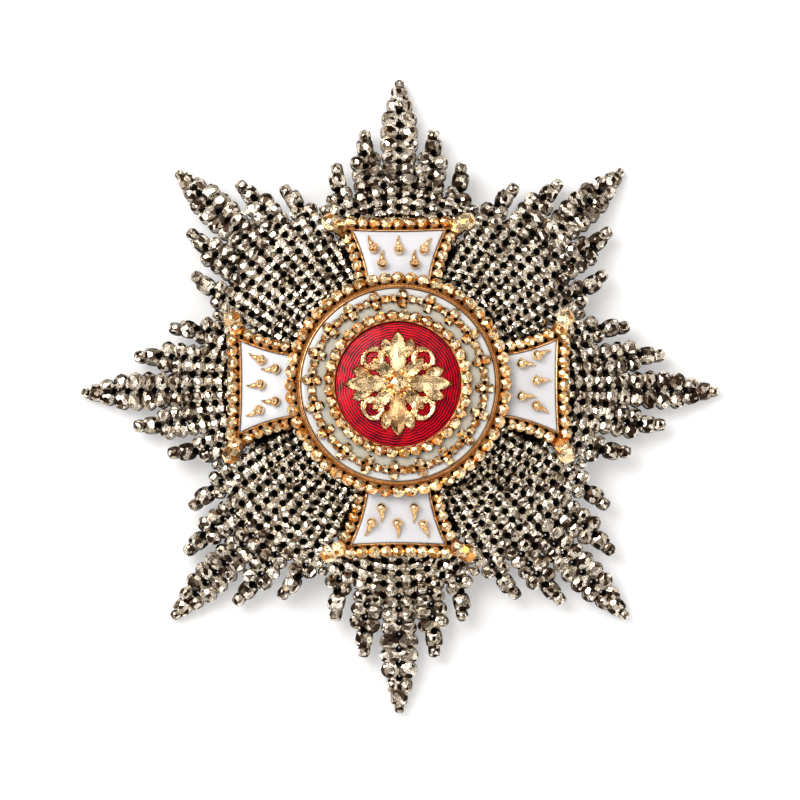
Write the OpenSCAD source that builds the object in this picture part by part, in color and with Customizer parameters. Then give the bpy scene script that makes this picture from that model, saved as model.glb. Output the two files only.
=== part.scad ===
// Breast star: a domed silver star of eight pierced bundles of rays, with a gold and enamel
// cross and a round enamelled medallion on it, and a breast pin behind.
// Millimetres. +Z points out of the front, +Y to the top ray, +X to the right as it is worn
// seen from the front. The ray tips stand on z = 0, and the star's centre is at x = y = 0.

/* [Star] */
// Diameter of the star over two opposite ray tips
star_d = 88; // [84:1:100]
// Inside radius of the sphere that the star is domed to
dome_r = 170; // [150:5:220]
// Thickness of the pierced ray plates
plate_t = 1.1; // [0.8:0.1:1.6]
// Height of the cut studs above the ray plates
stud_h = 0.9; // [0.6:0.1:1.2]
// Share of the space between two studs that a stud fills
stud_fill = 0.93; // [0.8:0.01:0.95]
// Diameter of the holes drilled between the studs
hole_d = 1.0; // [0.6:0.1:1.1]
// Angle between two columns of studs, seen from the point where the columns meet
column_deg = 3.27; // [3.1:0.01:3.3]
// How far behind the star's centre the columns of a bundle meet
fan_back = 8.7; // [8:0.1:9]
// How much the rows of studs open out towards the tips, from 0, evenly spaced
row_ease = 0.31; // [0.25:0.01:0.35]
// How far a row of studs bends in one column from the middle, which grows with the square
row_dip = 0.087; // [0.06:0.001:0.1]
// Diameter of the last stud on a long ray
long_tip_d = 1.3; // [1:0.1:1.6]
// Diameter of the last stud on a short ray
short_tip_d = 1.65; // [1.2:0.05:1.8]
// Diameter of the broad stud behind each tip
neck_d = 2.3; // [2:0.1:2.6]

/* [Back plate] */
// Diameter of the plate that carries the bundles of rays
back_d = 42; // [40:1:46]
// Thickness of that plate
back_t = 0.9; // [0.6:0.1:1.2]

/* [Cross] */
// Distance from the centre to the outer edge of the enamel
enamel_out = 21.5; // [20.5:0.1:22.5]
// Width of an enamel arm at its outer edge
enamel_out_w = 12.5; // [11:0.1:13]
// Width of an enamel arm where it leaves the medallion
enamel_in_w = 7.9; // [7:0.1:8.6]
// How far the flanks of an enamel arm curve in
flank_dip = 0.45; // [0:0.05:0.8]
// How far the end of an enamel arm curves in
end_dip = 0.2; // [0:0.05:0.4]
// Thickness of the enamel
enamel_t = 0.8; // [0.5:0.05:1]
// Thickness of the gold under the enamel
tray_t = 0.5; // [0.4:0.1:0.8]
// Width of the plain gold from the enamel to the middle of the beads
border_w = 1.2; // [1:0.05:1.4]
// Diameter of the beads along the outer end of an arm
bead_d = 1.5; // [1.3:0.05:1.55]
// Diameter of the beads along the flanks of an arm
flank_bead_d = 1.25; // [1.1:0.05:1.3]
// Height of the border beads
bead_h = 0.8; // [0.5:0.1:1]
// Diameter of the large bead at each corner
corner_d = 2.4; // [2:0.1:2.6]
// Diameter of the large bead beside it
second_d = 2.1; // [1.8:0.1:2.3]

/* [Flames] */
// Length of a flame
flame_l = 2.7; // [2.4:0.1:3]
// Diameter of a flame's round head
flame_d = 1.35; // [1:0.05:1.5]

/* [Medallion] */
// Diameter of the outer ring's beads
ring_bead_d = 1.66; // [1.4:0.02:1.7]
// Width of the plain rim inside the outer ring of beads
rim_w = 0.55; // [0.4:0.05:0.7]
// Thickness of the medallion's gold floor
floor_t = 0.6; // [0.5:0.1:0.8]
// Thickness of the white ring of enamel
white_t = 0.45; // [0.3:0.05:0.6]
// Diameter of the inner ring's beads
bezel_bead_d = 1.5; // [1.3:0.05:1.55]
// Width of the gold bezel between the inner ring's beads and the red disc
bezel_lip = 0.15; // [0.1:0.01:0.2]
// Height of the beads of both rings
ring_bead_h = 0.8; // [0.5:0.1:1]
// How far the red disc is domed
disc_rise = 0.6; // [0.3:0.1:0.9]
// Thickness of the red disc at its edge
disc_t = 0.5; // [0.4:0.1:0.7]

/* [Collar] */
// Diameter of the circle that the collar's units stand on
collar_d = 23.4; // [23.2:0.1:23.6]
// Height of a unit from its outer to its inner edge
unit_h = 2.55; // [2.3:0.05:2.6]
// Diameter of the two large beads of a unit
unit_bead_d = 1.25; // [1.1:0.05:1.3]
// Diameter of the two side beads of a unit
unit_side_d = 1.05; // [0.9:0.05:1.1]
// Width of white enamel that shows between the collar and the rim outside it
collar_out_gap = 0.215; // [0.1:0.01:0.3]
// Width of white enamel that shows between the collar and the inner ring of beads
collar_in_gap = 0.325; // [0.2:0.01:0.4]

/* [Ornament] */
// Width of red enamel that shows outside the rosette's leaves
rosette_edge = 0.85; // [0.6:0.05:1.4]
// Diameter of the rosette's middle boss
boss_d = 2.8; // [2.2:0.1:3.2]
// Thickness of the scrolls
scroll_d = 0.62; // [0.5:0.02:0.7]

/* [Breast pin] */
// Length of the needle between its hinge and its catch
pin_l = 32; // [28:1:34]
// Diameter of the needle
pin_d = 1.2; // [1:0.1:1.4]
// Height of the needle's middle above the surface the star lies on
pin_z = 1.9; // [1.4:0.1:2.2]
// Width of the hinge and the catch
lug_w = 4; // [3:0.5:6]
// Length of the hinge and the catch along the needle
lug_l = 3; // [2:0.5:4]

/* [Fit] */
// Gap between two pieces that are fitted or seated on each other
seat_gap = 0.05; // [0.03:0.01:0.1]
// Gap under a loose small piece
loose_gap = 0.1; // [0.1:0.01:0.15]

/* [Hidden] */
$fn = 24;
// Facets of the large spheres, which only the preview shows
DOME_FN = 256;
COMPASS = ["top", "top_right", "right", "bottom_right", "bottom", "bottom_left", "left", "top_left"];
SIDES = ["top", "right", "bottom", "left"];

SILVER = [0.77, 0.76, 0.72];
GOLD = [0.88, 0.66, 0.28];
WHITE = [0.94, 0.94, 0.97];
RED = [0.75, 0.05, 0.1];

// Rays of one side of a bundle, from its middle. The columns are: the column that the ray's axis
// lies on, its last row with two studs, the row of its broad neck stud, the row of its tip, and
// the column that the tip bends in to.
RAY = [
    [0, 16, 16.8, 17.5, 0],
    [2, 12, 13.08, 13.95, 1.88],
    [4, 10, 11.28, 12.18, 3.75]
];
// How far apart the two studs of a row stand, as a share of the columns' spacing, from the
// ray's last pair of studs inwards. Rows that aren't listed have a share of 1.
SPREAD = [[0.62, 1, 1.2, 1.28, 1.2, 1.1], [0.95], [0.92]];
// Rows where the valley between two rays ends: middle to second ray, second to outer ray
VALLEY = [11.1, 9.8];
// Row of each ray's tip on the bundle's middle ray
TIP_ROW = RAY[0][3];
// Rows of the studs that stand alone between two bundles, beside the outer studs' column, and
// their size as a share of those studs
SIDE_ROWS = [8.5, 9.5];
SIDE_COLUMN = 4.5;
SIDE_SHARE = 0.8;
// Column of the outer ray from which their strip of plate starts
STRIP_COLUMN = 4.2;
// First row of each ray of a bundle, and of one under the cross, which starts under the arm and
// leaves room beside the arm for the bundles next to it
FREE_FIRST = [0, 0, 0];
COVERED_FIRST = [4, 4, 6];
// Share of a stud's radius by which the plate reaches past the stud's middle
lip = 0.5;
// Share of a stud's radius that its flat table takes, and share of its height below the facets
table_share = 0.42;
girdle_share = 0.3;
// How deep a stud is rooted in its plate, as a share of the plate
root_share = 0.85;

// Diameters over the outer and the inner ring of beads, between which the collar lies, and
// those of the red disc inside them and of the rosette on it
medallion_d = collar_d + unit_h + 2*(collar_out_gap + rim_w + ring_bead_d);
bezel_d = collar_d - unit_h - 2*collar_in_gap;
disc_d = bezel_d - 2*(bezel_bead_d + bezel_lip);
rosette_d = disc_d - 2*rosette_edge;

ring_r = medallion_d/2;
// The first row of studs lies a little under the medallion's beads
first_row_r = ring_r - seat_gap*1.6;
last_row_r = (star_d - long_tip_d)/2;
plate_reach = last_row_r + lip*long_tip_d/2;

// Radii of the concentric spheres, from the underside of the rays to the top of the enamel
face_r = dome_r + plate_t;
stud_r_top = face_r + stud_h;
cross_r = stud_r_top + seat_gap;
tray_r = cross_r + tray_t;
enamel_r = tray_r + seat_gap + enamel_t;
back_top_r = dome_r - seat_gap;
back_low_r = back_top_r - back_t;
dome_drop = sqrt(dome_r*dome_r - plate_reach*plate_reach);

// Distance from the centre where an arm's flank starts, under the medallion's rim, and the
// heights of the medallion's layers
arm_in = ring_r - ring_bead_d - rim_w;
medallion_z = level(enamel_r, arm_in - seat_gap) + seat_gap;
floor_z = medallion_z + floor_t;
ring_z = floor_z + white_t;
white_z = floor_z + seat_gap;
white_r = ring_r - ring_bead_d - rim_w;
disc_r = disc_d/2;
disc_z = floor_z + seat_gap;
disc_top = disc_z + disc_t + disc_rise;

// Height of the sphere of radius big at the distance r from the star's axis
function level(big, r) = sqrt(big*big - r*r) - dome_drop;
// Point at the distance r from the centre, at an angle clockwise from the top
function polar(r, a) = [r*sin(a), r*cos(a)];

// Radius of row j on a bundle's middle line
function row_r(j) = let(t = j/TIP_ROW)
    first_row_r + (last_row_r - first_row_r)*((1 - row_ease)*t + row_ease*t*t);
function row_gap(j) = row_r(j + 0.5) - row_r(j - 0.5);
function column_gap(j) = (row_r(j) + fan_back)*column_deg*PI/180;
function stud_r(j) = stud_fill*min(row_gap(j), column_gap(j))/2;
// Place of column u and row j in a bundle that points up
function fan(u, j) = polar(row_r(j) - row_dip*u*u + fan_back, u*column_deg) - [0, fan_back];

// Share of the column spacing that the two studs of row j of ray i stand apart
function spread(i, j) = let(k = RAY[i][1] - j) k >= 0 && k < len(SPREAD[i]) ? SPREAD[i][k] : 1;
// Point on the plate's edge beside row j of ray i, on the side sd (1 right, -1 left)
function edge(i, sd, j) =
    fan(RAY[i][0] + sd*(spread(i, j)/2 + lip*stud_r(j)/column_gap(j)), j);
// Places of the neck stud and of the tip stud of ray i
function neck_column(i) = (RAY[i][0] + RAY[i][4])/2;
function neck_place(i) = fan(neck_column(i), RAY[i][2]);
function tip_place(i) = fan(RAY[i][4], RAY[i][3]);
function tip_d(i) = i == 0 ? long_tip_d : short_tip_d;
function tip_point(i) = tip_place(i) + lip*tip_d(i)/2*polar(1, RAY[i][4]*column_deg);
function reversed(list) = [for (k = [len(list) - 1:-1:0]) list[k]];
function mirrored(list) = [for (p = list) [-p.x, p.y]];
function flank_points(i, sd, from) = [for (j = [from:1:RAY[i][1]]) edge(i, sd, j)];
function cap_points(i, sd) =
    [fan(neck_column(i) + sd*lip*neck_d/2/column_gap(RAY[i][2]), RAY[i][2])];

// Right half of a bundle's outline, from its inner corner out to the tip of the middle ray
function half_outline(first) = concat(
    first[2] > first[1] ? [edge(1, 1, first[1] - 0.5), edge(1, 1, first[2] - 0.5)] : [],
    [edge(2, 1, first[2] - 0.5)],
    flank_points(2, 1, first[2]), cap_points(2, 1), [tip_point(2)], cap_points(2, -1),
    reversed(flank_points(2, -1, ceil(VALLEY[1]))),
    [fan(3, VALLEY[1])],
    flank_points(1, 1, ceil(VALLEY[1])), cap_points(1, 1), [tip_point(1)], cap_points(1, -1),
    reversed(flank_points(1, -1, ceil(VALLEY[0]))),
    [fan(1, VALLEY[0])],
    flank_points(0, 1, ceil(VALLEY[0])), cap_points(0, 1), [tip_point(0)]
);
function bundle_outline(first) = let(half = half_outline(first))
    concat(half, reversed(mirrored([for (k = [0:len(half) - 2]) half[k]])));

// Place of the lone stud beside row j, on the line between two bundles
function side_place(j) = polar(norm(fan(SIDE_COLUMN, j)), 22.5);
// Studs of a bundle's right half, as [x, y, radius]
function half_studs(first) = [for (i = [0:2]) each concat(
    [for (j = [first[i]:1:RAY[i][1]]) each [for (sd = i == 0 ? [1] : [-1, 1])
        concat(fan(RAY[i][0] + sd*spread(i, j)/2, j), stud_r(j))]],
    i == 0 ? [] : [
        concat(neck_place(i), neck_d/2),
        concat(tip_place(i), tip_d(i)/2)]
)];
MIDDLE_STUDS = [
    concat(neck_place(0), neck_d/2),
    concat(tip_place(0), tip_d(0)/2)
];
// Rows of the through holes on each ray's axis, which lie between two rows of studs
HOLE_ROWS = [[9.5, 10.5, 11.5, 12.5, 13.5, 14.5, 15.5], [9.5, 10.5, 11.5], [9.5]];

// Puts its child on the sphere of radius big above the point at, square to the sphere
module on_dome(at, big) {
    r = norm(at);
    translate([at.x, at.y, level(big, r)])
        rotate([0, asin(r/big), atan2(at.y, at.x)])
            children();
}

// Everything between the spheres of radius low and high that lies inside the 2D child
module shell(low, high) {
    difference() {
        intersection() {
            linear_extrude(height = level(high, 0) + 1) children();
            translate([0, 0, -dome_drop]) sphere(r = high, $fn = DOME_FN);
        }
        translate([0, 0, -dome_drop]) sphere(r = low, $fn = DOME_FN);
    }
}

// A cut bead or stud: a girdle, a slope cut to facets and a flat table
module stud(r, h, root) {
    rotate_extrude()
        polygon([
            [0, -root], [r, -root], [r, h*girdle_share], [r*table_share, h], [0, h]
        ]);
}

module bundle(first, side_studs) {
    side = [for (j = side_studs) concat(side_place(j), SIDE_SHARE*stud_r(j))];
    right = concat(half_studs(first), side);
    color(SILVER) {
        shell(dome_r, face_r) difference() {
            union() {
                polygon(bundle_outline(first));
                if (len(side) > 0) for (m = [0, 1]) mirror([m, 0]) polygon([
                    fan(STRIP_COLUMN, SIDE_ROWS[0] - 0.6), side_place(SIDE_ROWS[0] - 0.3),
                    side_place(SIDE_ROWS[1] + 0.2), fan(STRIP_COLUMN, SIDE_ROWS[1])
                ]);
            }
            for (i = [0:2]) for (j = HOLE_ROWS[i]) for (m = i == 0 ? [1] : [-1, 1])
                translate(fan(m*RAY[i][0], j)) circle(d = hole_d);
        }
        for (s = concat(right, [for (p = right) [-p[0], p[1], p[2]]], MIDDLE_STUDS))
            on_dome([s[0], s[1]], face_r) stud(s[2], stud_h, plate_t*root_share);
    }
}

module rays(k) {
    rotate([0, 0, -45*k])
        if (k % 2 == 0) bundle(COVERED_FIRST, []); else bundle(FREE_FIRST, SIDE_ROWS);
}

module back_plate() {
    color(SILVER) shell(back_low_r, back_top_r) circle(d = back_d);
}

module breast_pin() {
    color(SILVER) {
        translate([0, 0, pin_z]) rotate([90, 0, 0]) cylinder(d = pin_d, h = pin_l + lug_l, center = true);
        for (s = [-1, 1]) intersection() {
            translate([-lug_w/2, s*(pin_l + lug_l)/2 - lug_l/2, pin_z - pin_d])
                cube([lug_w, lug_l, level(back_low_r, 0)]);
            translate([0, 0, -dome_drop]) sphere(r = back_low_r - seat_gap, $fn = DOME_FN);
        }
    }
}

// Point on the right flank of an arm that points up, at the share t of its length, moved out
// by off. The flank is a parabola that dips in between its ends.
function flank(t, off) = let(
        run = enamel_out - arm_in,
        x = enamel_in_w/2 + (enamel_out_w - enamel_in_w)/2*t - 4*flank_dip*t*(1 - t),
        slope = ((enamel_out_w - enamel_in_w)/2 - 4*flank_dip*(1 - 2*t))/run,
        n = [1, -slope]/norm([1, slope]))
    [x, arm_in + run*t] + off*n;
// Point on the outer end of an arm at the share s of its half width, moved out by off
function end_point(s, off) = [s*enamel_out_w/2, enamel_out - end_dip*(1 - s*s) + off];
FLANK_STEPS = 8;
END_STEPS = 3;
// Outline of an arm's enamel, grown by off
function arm_half(off) = concat(
    [for (k = [0:FLANK_STEPS]) flank(k/FLANK_STEPS, off) + off*[0, k == 0 ? -1 : k == FLANK_STEPS ? 1 : 0]],
    [for (k = [END_STEPS - 1:-1:0]) end_point(k/END_STEPS, off)]
);
function arm_outline(off) = let(half = arm_half(off))
    concat(half, reversed(mirrored([for (k = [0:len(half) - 2]) half[k]])));
// Places of the two large beads at the right corner of an arm
corner_at = [enamel_out_w/2 + border_w + corner_d*0.78, enamel_out + border_w];
second_at = [enamel_out_w/2 + border_w + second_d*0.3, enamel_out + border_w*0.5];
// How far the gold reaches past the middle of the border beads
bead_lip = flank_bead_d*0.2;
// Outline of an arm's gold, with a horn under the large beads at its corners
function frame_half() = concat(
    [for (k = [0:FLANK_STEPS - 1]) flank(k/FLANK_STEPS, border_w + bead_lip)],
    [corner_at + [0, -corner_d*0.35], corner_at + corner_d*[0.3, 0], corner_at + corner_d*[0, 0.3]],
    [for (k = [END_STEPS - 1:-1:0]) end_point(k/END_STEPS, border_w + bead_lip)]
);
function frame_outline() = let(half = frame_half())
    concat(half, reversed(mirrored([for (k = [0:len(half) - 2]) half[k]])));
FLANK_BEADS = 5;
END_BEADS = 9;
// Shares of an arm's length where the first bead of a flank, just outside the medallion's
// beads, and the last one stand
FLANK_BEAD_SPAN = [(ring_r + seat_gap - arm_in)/(enamel_out - arm_in), 0.93];
// Share of the enamel's outer width that the beads of an arm's end reach over
END_BEAD_SPAN = 1.04;

module cross_frame() {
    color(GOLD) {
        difference() {
            shell(cross_r, enamel_r) union() {
                circle(r = ring_r - ring_bead_d/2);
                for (k = [0:3]) rotate(-90*k) polygon(frame_outline());
            }
            for (k = [0:3]) rotate([0, 0, -90*k])
                shell(tray_r, enamel_r + 1) polygon(arm_outline(seat_gap));
            translate([0, 0, medallion_z - seat_gap]) cylinder(r = ring_r - ring_bead_d/2, h = enamel_t + tray_t);
        }
        for (k = [0:3]) rotate([0, 0, -90*k]) arm_beads();
    }
}

module arm_beads() {
    root = enamel_t*root_share;
    for (k = [0:END_BEADS - 1])
        on_dome(end_point((2*k/(END_BEADS - 1) - 1)*END_BEAD_SPAN, border_w), enamel_r)
            stud(bead_d/2, bead_h, root);
    for (m = [0, 1]) mirror([m, 0, 0]) {
        for (k = [0:FLANK_BEADS - 1])
            on_dome(flank(FLANK_BEAD_SPAN[0] + (FLANK_BEAD_SPAN[1] - FLANK_BEAD_SPAN[0])
                *k/(FLANK_BEADS - 1), border_w), enamel_r) stud(flank_bead_d/2, bead_h, root);
        on_dome(corner_at, enamel_r) stud(corner_d/2, bead_h*1.4, root);
        on_dome(second_at, enamel_r) stud(second_d/2, bead_h*1.2, root);
    }
}

module enamel() {
    color(WHITE) shell(tray_r + seat_gap, enamel_r) polygon(arm_outline(0));
}

// Flames of one arm. The columns are: distance out from the medallion's beads and distance to
// the right, as shares of the enamel's free length and of its half width, and the tail's lean to
// the right in degrees.
FLAME = [
    [0.56, -0.55, -18],
    [0.54, 0, 3],
    [0.54, 0.55, 34],
    [0.207, -0.37, 10],
    [0.207, 0.34, 6]
];
// Distance that the right arm's flames stand off towards the top arm
RIGHT_SHIFT = 0.7;
FLAME_SIDES = 8;
// Radius of a flame at the share t of its length: a ball, a waist, a knop and a tapering tail
function flame_radius(t) = flame_d/2*lookup(t, [
    [0, 0.35], [0.1, 0.82], [0.25, 1], [0.4, 0.8], [0.48, 0.5], [0.56, 0.56], [0.75, 0.34], [1, 0.12]
]);
function flame_axis(t) = [flame_l*0.035*sin(360*t), flame_l*(t - 0.25)];
FLAME_STATIONS = [0, 0.1, 0.25, 0.4, 0.48, 0.56, 0.72, 1];
FLAME_RINGS = len(FLAME_STATIONS);

module flame() {
    points = [for (t = FLAME_STATIONS) for (k = [0:FLAME_SIDES - 1]) let(
        r = flame_radius(t), c = flame_axis(t), a = 360*(k + 0.5)/FLAME_SIDES)
        [c.x + r*cos(a), c.y, r*(1 + sin(a))]];
    sides = [for (i = [0:FLAME_RINGS - 2]) for (k = [0:FLAME_SIDES - 1]) let(
        a = i*FLAME_SIDES + k, b = i*FLAME_SIDES + (k + 1) % FLAME_SIDES)
        [a, b, b + FLAME_SIDES, a + FLAME_SIDES]];
    ends = [
        [for (k = [FLAME_SIDES - 1:-1:0]) k],
        [for (k = [0:FLAME_SIDES - 1]) (FLAME_RINGS - 1)*FLAME_SIDES + k]
    ];
    polyhedron(points = points, faces = concat(sides, ends));
}

module flames(k) {
    color(GOLD) for (f = FLAME) {
        at = [f[1]*enamel_out_w/2 - (k == 1 ? RIGHT_SHIFT : 0), ring_r + f[0]*(enamel_out - ring_r)];
        r = norm(at);
        translate([at.x, at.y, level(enamel_r + loose_gap, r)])
            rotate(a = asin(r/enamel_r), v = [-at.y, at.x, 0])
                rotate([0, 0, -f[2]]) flame();
    }
}

RING_BEADS = 52;
BEZEL_BEADS = 36;

module bead_ring() {
    shelf_r = ring_r - ring_bead_d/2;
    color(GOLD) {
        rotate_extrude() polygon([
            [0, medallion_z], [shelf_r, medallion_z], [shelf_r, ring_z],
            [ring_r - ring_bead_d, ring_z], [ring_r - ring_bead_d, ring_z + rim_w*0.4],
            [white_r, ring_z + rim_w*0.4], [white_r, floor_z], [0, floor_z]
        ]);
        for (k = [0:RING_BEADS - 1]) rotate([0, 0, 360*k/RING_BEADS])
            translate([0, shelf_r, ring_z]) stud(ring_bead_d/2, ring_bead_h, white_t*root_share);
    }
}

module white_ring() {
    color(WHITE) rotate_extrude() polygon([
        [bezel_d/2 - bezel_bead_d/2 + seat_gap, white_z], [white_r - seat_gap, white_z],
        [white_r - seat_gap, white_z + white_t], [bezel_d/2 - bezel_bead_d/2 + seat_gap, white_z + white_t]
    ]);
}

UNITS = 20;

module chain_collar() {
    z = white_z + white_t + loose_gap;
    web_t = 0.3;
    color(GOLD) {
        translate([0, 0, z]) rotate_extrude()
            translate([collar_d/2 - unit_side_d*0.35, 0]) square([unit_side_d*0.7, web_t]);
        for (k = [0:UNITS - 1]) rotate([0, 0, -360*(k + 0.15)/UNITS]) translate([0, 0, z + web_t]) {
            for (s = [-1, 1]) {
                translate([0, collar_d/2 + s*(unit_h - unit_bead_d)/2, 0])
                    stud(unit_bead_d/2, ring_bead_h*0.7, web_t*root_share);
                rotate([0, 0, s*6.4]) translate([0, collar_d/2, 0])
                    stud(unit_side_d/2, ring_bead_h*0.6, web_t*root_share);
            }
        }
    }
}

module inner_bead_ring() {
    bead_r = bezel_d/2 - bezel_bead_d/2;
    top_z = white_z + white_t + loose_gap;
    color(GOLD) {
        rotate_extrude() polygon([
            [disc_r + seat_gap, floor_z + seat_gap], [bead_r, floor_z + seat_gap],
            [bead_r, top_z], [bead_r + bezel_bead_d*0.3, top_z],
            [bead_r + bezel_bead_d*0.3, top_z + white_t], [disc_r + seat_gap, top_z + white_t]
        ]);
        for (k = [0:BEZEL_BEADS - 1]) rotate([0, 0, 360*(k + 0.5)/BEZEL_BEADS])
            translate([0, bead_r, top_z + white_t])
                stud(bezel_bead_d/2, ring_bead_h*0.9, white_t*root_share);
    }
}

// Radius of the sphere that the red disc's face is domed to
disc_dome_r = (disc_r*disc_r + disc_rise*disc_rise)/(2*disc_rise);

module red_disc() {
    color(RED) intersection() {
        translate([0, 0, disc_z]) cylinder(r = disc_r, h = disc_t + disc_rise);
        translate([0, 0, disc_top - disc_dome_r]) sphere(r = disc_dome_r, $fn = DOME_FN);
    }
}

// Height of the underside of a piece that lies on the red disc, at the distance r from its middle
function on_disc(r) = disc_top - disc_dome_r + sqrt(disc_dome_r*disc_dome_r - r*r) + loose_gap;

// Scroll of the rosette: an open spiral, as points from its outer end to its eye
SCROLL_STEPS = 7;
function scroll_point(k) = let(
        a = -70 + 400*k/SCROLL_STEPS, r = rosette_d*(0.11 - 0.009*k))
    [rosette_d*0.3, 0] + r*[cos(a), sin(a)];

// A rod between two points that lie on the red disc
module rod(a, b, da, db) {
    hull() {
        translate([a.x, a.y, on_disc(norm(a))]) cylinder(d1 = da, d2 = da*0.4, h = da*0.75, $fn = 6);
        translate([b.x, b.y, on_disc(norm(b))]) cylinder(d1 = db, d2 = db*0.4, h = db*0.75, $fn = 6);
    }
}

// A pointed leaf with a raised midrib, from the distance r0 to r1, w wide
module leaf(r0, r1, w) {
    belly = r0 + (r1 - r0)*0.55;
    lift = (r1 - r0)*(r1 - r0)/8/disc_dome_r;
    translate([0, 0, lift]) hull() {
        for (p = [[0, r0], [w/2, belly], [-w/2, belly], [0, r1]])
            translate([p.x, p.y, on_disc(norm(p))]) cylinder(d = 0.2, h = 0.2, $fn = 4);
        translate([0, r0, on_disc(r0)]) cylinder(d = 0.2, h = w*0.5, $fn = 4);
        translate([0, belly, on_disc(belly)]) cylinder(d = 0.2, h = w*0.5, $fn = 4);
    }
}

module rosette() {
    color(GOLD) {
        for (k = [0:7]) rotate([0, 0, 45*k])
            if (k % 2 == 0) {
                leaf(boss_d*0.4, rosette_d/2, rosette_d*0.17);
                for (m = [-1, 1]) rotate([0, 0, m*17]) leaf(rosette_d*0.26, rosette_d*0.44, rosette_d*0.11);
            }
            else leaf(boss_d*0.4, rosette_d*0.34, rosette_d*0.13);
        for (k = [0:3]) rotate([0, 0, 90*k + 45]) for (m = [0, 1]) mirror([0, m, 0])
            for (j = [0:SCROLL_STEPS - 2])
                rod(scroll_point(j), scroll_point(j + 1), scroll_d*(1 - 0.03*j), scroll_d*(0.97 - 0.03*j));
        translate([0, 0, on_disc(0)]) cylinder(d1 = boss_d, d2 = boss_d*0.5, h = boss_d*0.4, $fn = 16);
    }
}

for (k = [0:7]) rays(k);
back_plate();
breast_pin();
cross_frame();
for (k = [0:3]) {
    rotate([0, 0, -90*k]) enamel();
    rotate([0, 0, -90*k]) flames(k);
}
bead_ring();
white_ring();
chain_collar();
inner_bead_ring();
red_disc();
rosette();
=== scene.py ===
# Breast star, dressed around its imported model: a domed star of pierced and cut silver rays, with
# a gold cross, white enamel, gold flames and a round enamelled medallion. Lengths in this file
# are millimetres until a mesh is made. The star's centre is at x = y = 0 and its tips lie on z = 0.
import math
import random

import bpy
from mathutils import Matrix, Vector
from mathutils.geometry import delaunay_2d_cdt


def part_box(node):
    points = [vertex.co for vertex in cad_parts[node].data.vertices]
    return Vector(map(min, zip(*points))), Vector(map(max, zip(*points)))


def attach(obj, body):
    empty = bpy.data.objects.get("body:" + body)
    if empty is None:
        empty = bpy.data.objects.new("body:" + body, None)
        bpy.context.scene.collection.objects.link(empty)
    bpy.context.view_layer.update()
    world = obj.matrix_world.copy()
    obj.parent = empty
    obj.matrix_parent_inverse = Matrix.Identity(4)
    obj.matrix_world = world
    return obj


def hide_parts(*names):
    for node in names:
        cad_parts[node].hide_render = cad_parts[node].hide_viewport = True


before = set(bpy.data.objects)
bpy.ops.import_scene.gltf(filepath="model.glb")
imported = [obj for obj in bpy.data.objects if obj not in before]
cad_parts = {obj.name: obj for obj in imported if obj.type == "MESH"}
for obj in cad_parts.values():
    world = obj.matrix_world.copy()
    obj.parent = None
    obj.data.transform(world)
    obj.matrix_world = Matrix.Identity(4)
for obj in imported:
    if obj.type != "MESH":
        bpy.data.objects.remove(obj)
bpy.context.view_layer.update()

# Back plate and breast pin. The domed silver disc behind carries the eight bundles of rays, and
# the upright pin with its hinge and catch is soldered to it. Both are plain silver, softly
# polished, with fine scratches and a breath of tarnish. Their faces towards the rays are
# painted black as the shade under the rays.

MM = 0.001


class Tone:
    """A value or colour inside a finish. An expression on values adds its Math nodes."""

    def __init__(self, finish, socket):
        self.finish = finish
        self.socket = socket

    def maths(self, operation, first, second):
        return self.finish.node("Math", {"operation": operation}, {0: first, 1: second})

    def __add__(self, other):
        return self.maths("ADD", self, other)

    def __rsub__(self, other):
        return self.maths("SUBTRACT", other, self)

    def __mul__(self, other):
        return self.maths("MULTIPLY", self, other)

    __radd__ = __add__
    __rmul__ = __mul__

    def sine(self):
        return self.finish.node("Math", {"operation": "SINE"}, {0: self})


class Finish:
    """A material, or the world. What is the same all over sits on its shader's own sockets."""

    def __init__(self, name, fixed, family=bpy.data.materials, shader="Principled BSDF"):
        self.made = family.new(name)
        self.made.use_nodes = True
        self.tree = self.made.node_tree
        self.shader = self.tree.nodes[shader]
        for socket, value in fixed.items():
            self.shader.inputs[socket].default_value = value
        self.place = self.node("TexCoord", {}, {}, "Object")

    def node(self, kind, settings, inputs, output=0):
        """One output of a new node. A ramp's stops are pairs of a place and a colour."""
        made = self.tree.nodes.new("ShaderNode" + kind)
        for key, value in settings.items():
            if key == "stops":
                stops = made.color_ramp.elements
                for at, colour in value[1:-1]:
                    stops.new(at).color = colour
                stops[0].position, stops[0].color = value[0]
                stops[-1].position, stops[-1].color = value[-1]
            else:
                setattr(made, key, value)
        for key, value in inputs.items():
            if isinstance(value, Tone):
                self.tree.links.new(value.socket, made.inputs[key])
            else:
                made.inputs[key].default_value = value
        return Tone(self, made.outputs[output])

    def give(self, socket, tone):
        self.tree.links.new(tone.socket, self.shader.inputs[socket])

    def grain(self, size, detail):
        """Cloudy noise with spots of about that size in millimetres."""
        return self.node("TexNoise", {}, {
            "Vector": self.place, "Scale": 1/(size*MM), "Detail": detail})

    def from_axis(self):
        """Distance from the star's upright axis, in metres."""
        flat = self.node("VectorMath", {"operation": "MULTIPLY"}, {0: self.place, 1: (1, 1, 0)})
        return self.node("VectorMath", {"operation": "LENGTH"}, {0: flat}, "Value")

    def step(self, tone, low, high):
        """0 below low and 1 above high."""
        return self.node("MapRange", {"interpolation_type": "SMOOTHSTEP"}, {
            "Value": tone, "From Min": low, "From Max": high})

    def blend(self, share, first, second):
        return self.node("Mix", {"data_type": "RGBA"}, {0: share, 6: first, 7: second}, 2)

    def mark(self, name):
        """A value that the mesh carries at its points or faces."""
        return self.node("Attribute", {"attribute_name": name}, {}, "Fac")

    def bumps(self, height, depth, strength):
        self.give("Normal", self.node("Bump", {}, {
            "Strength": strength, "Distance": depth*MM, "Height": height}))


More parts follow.
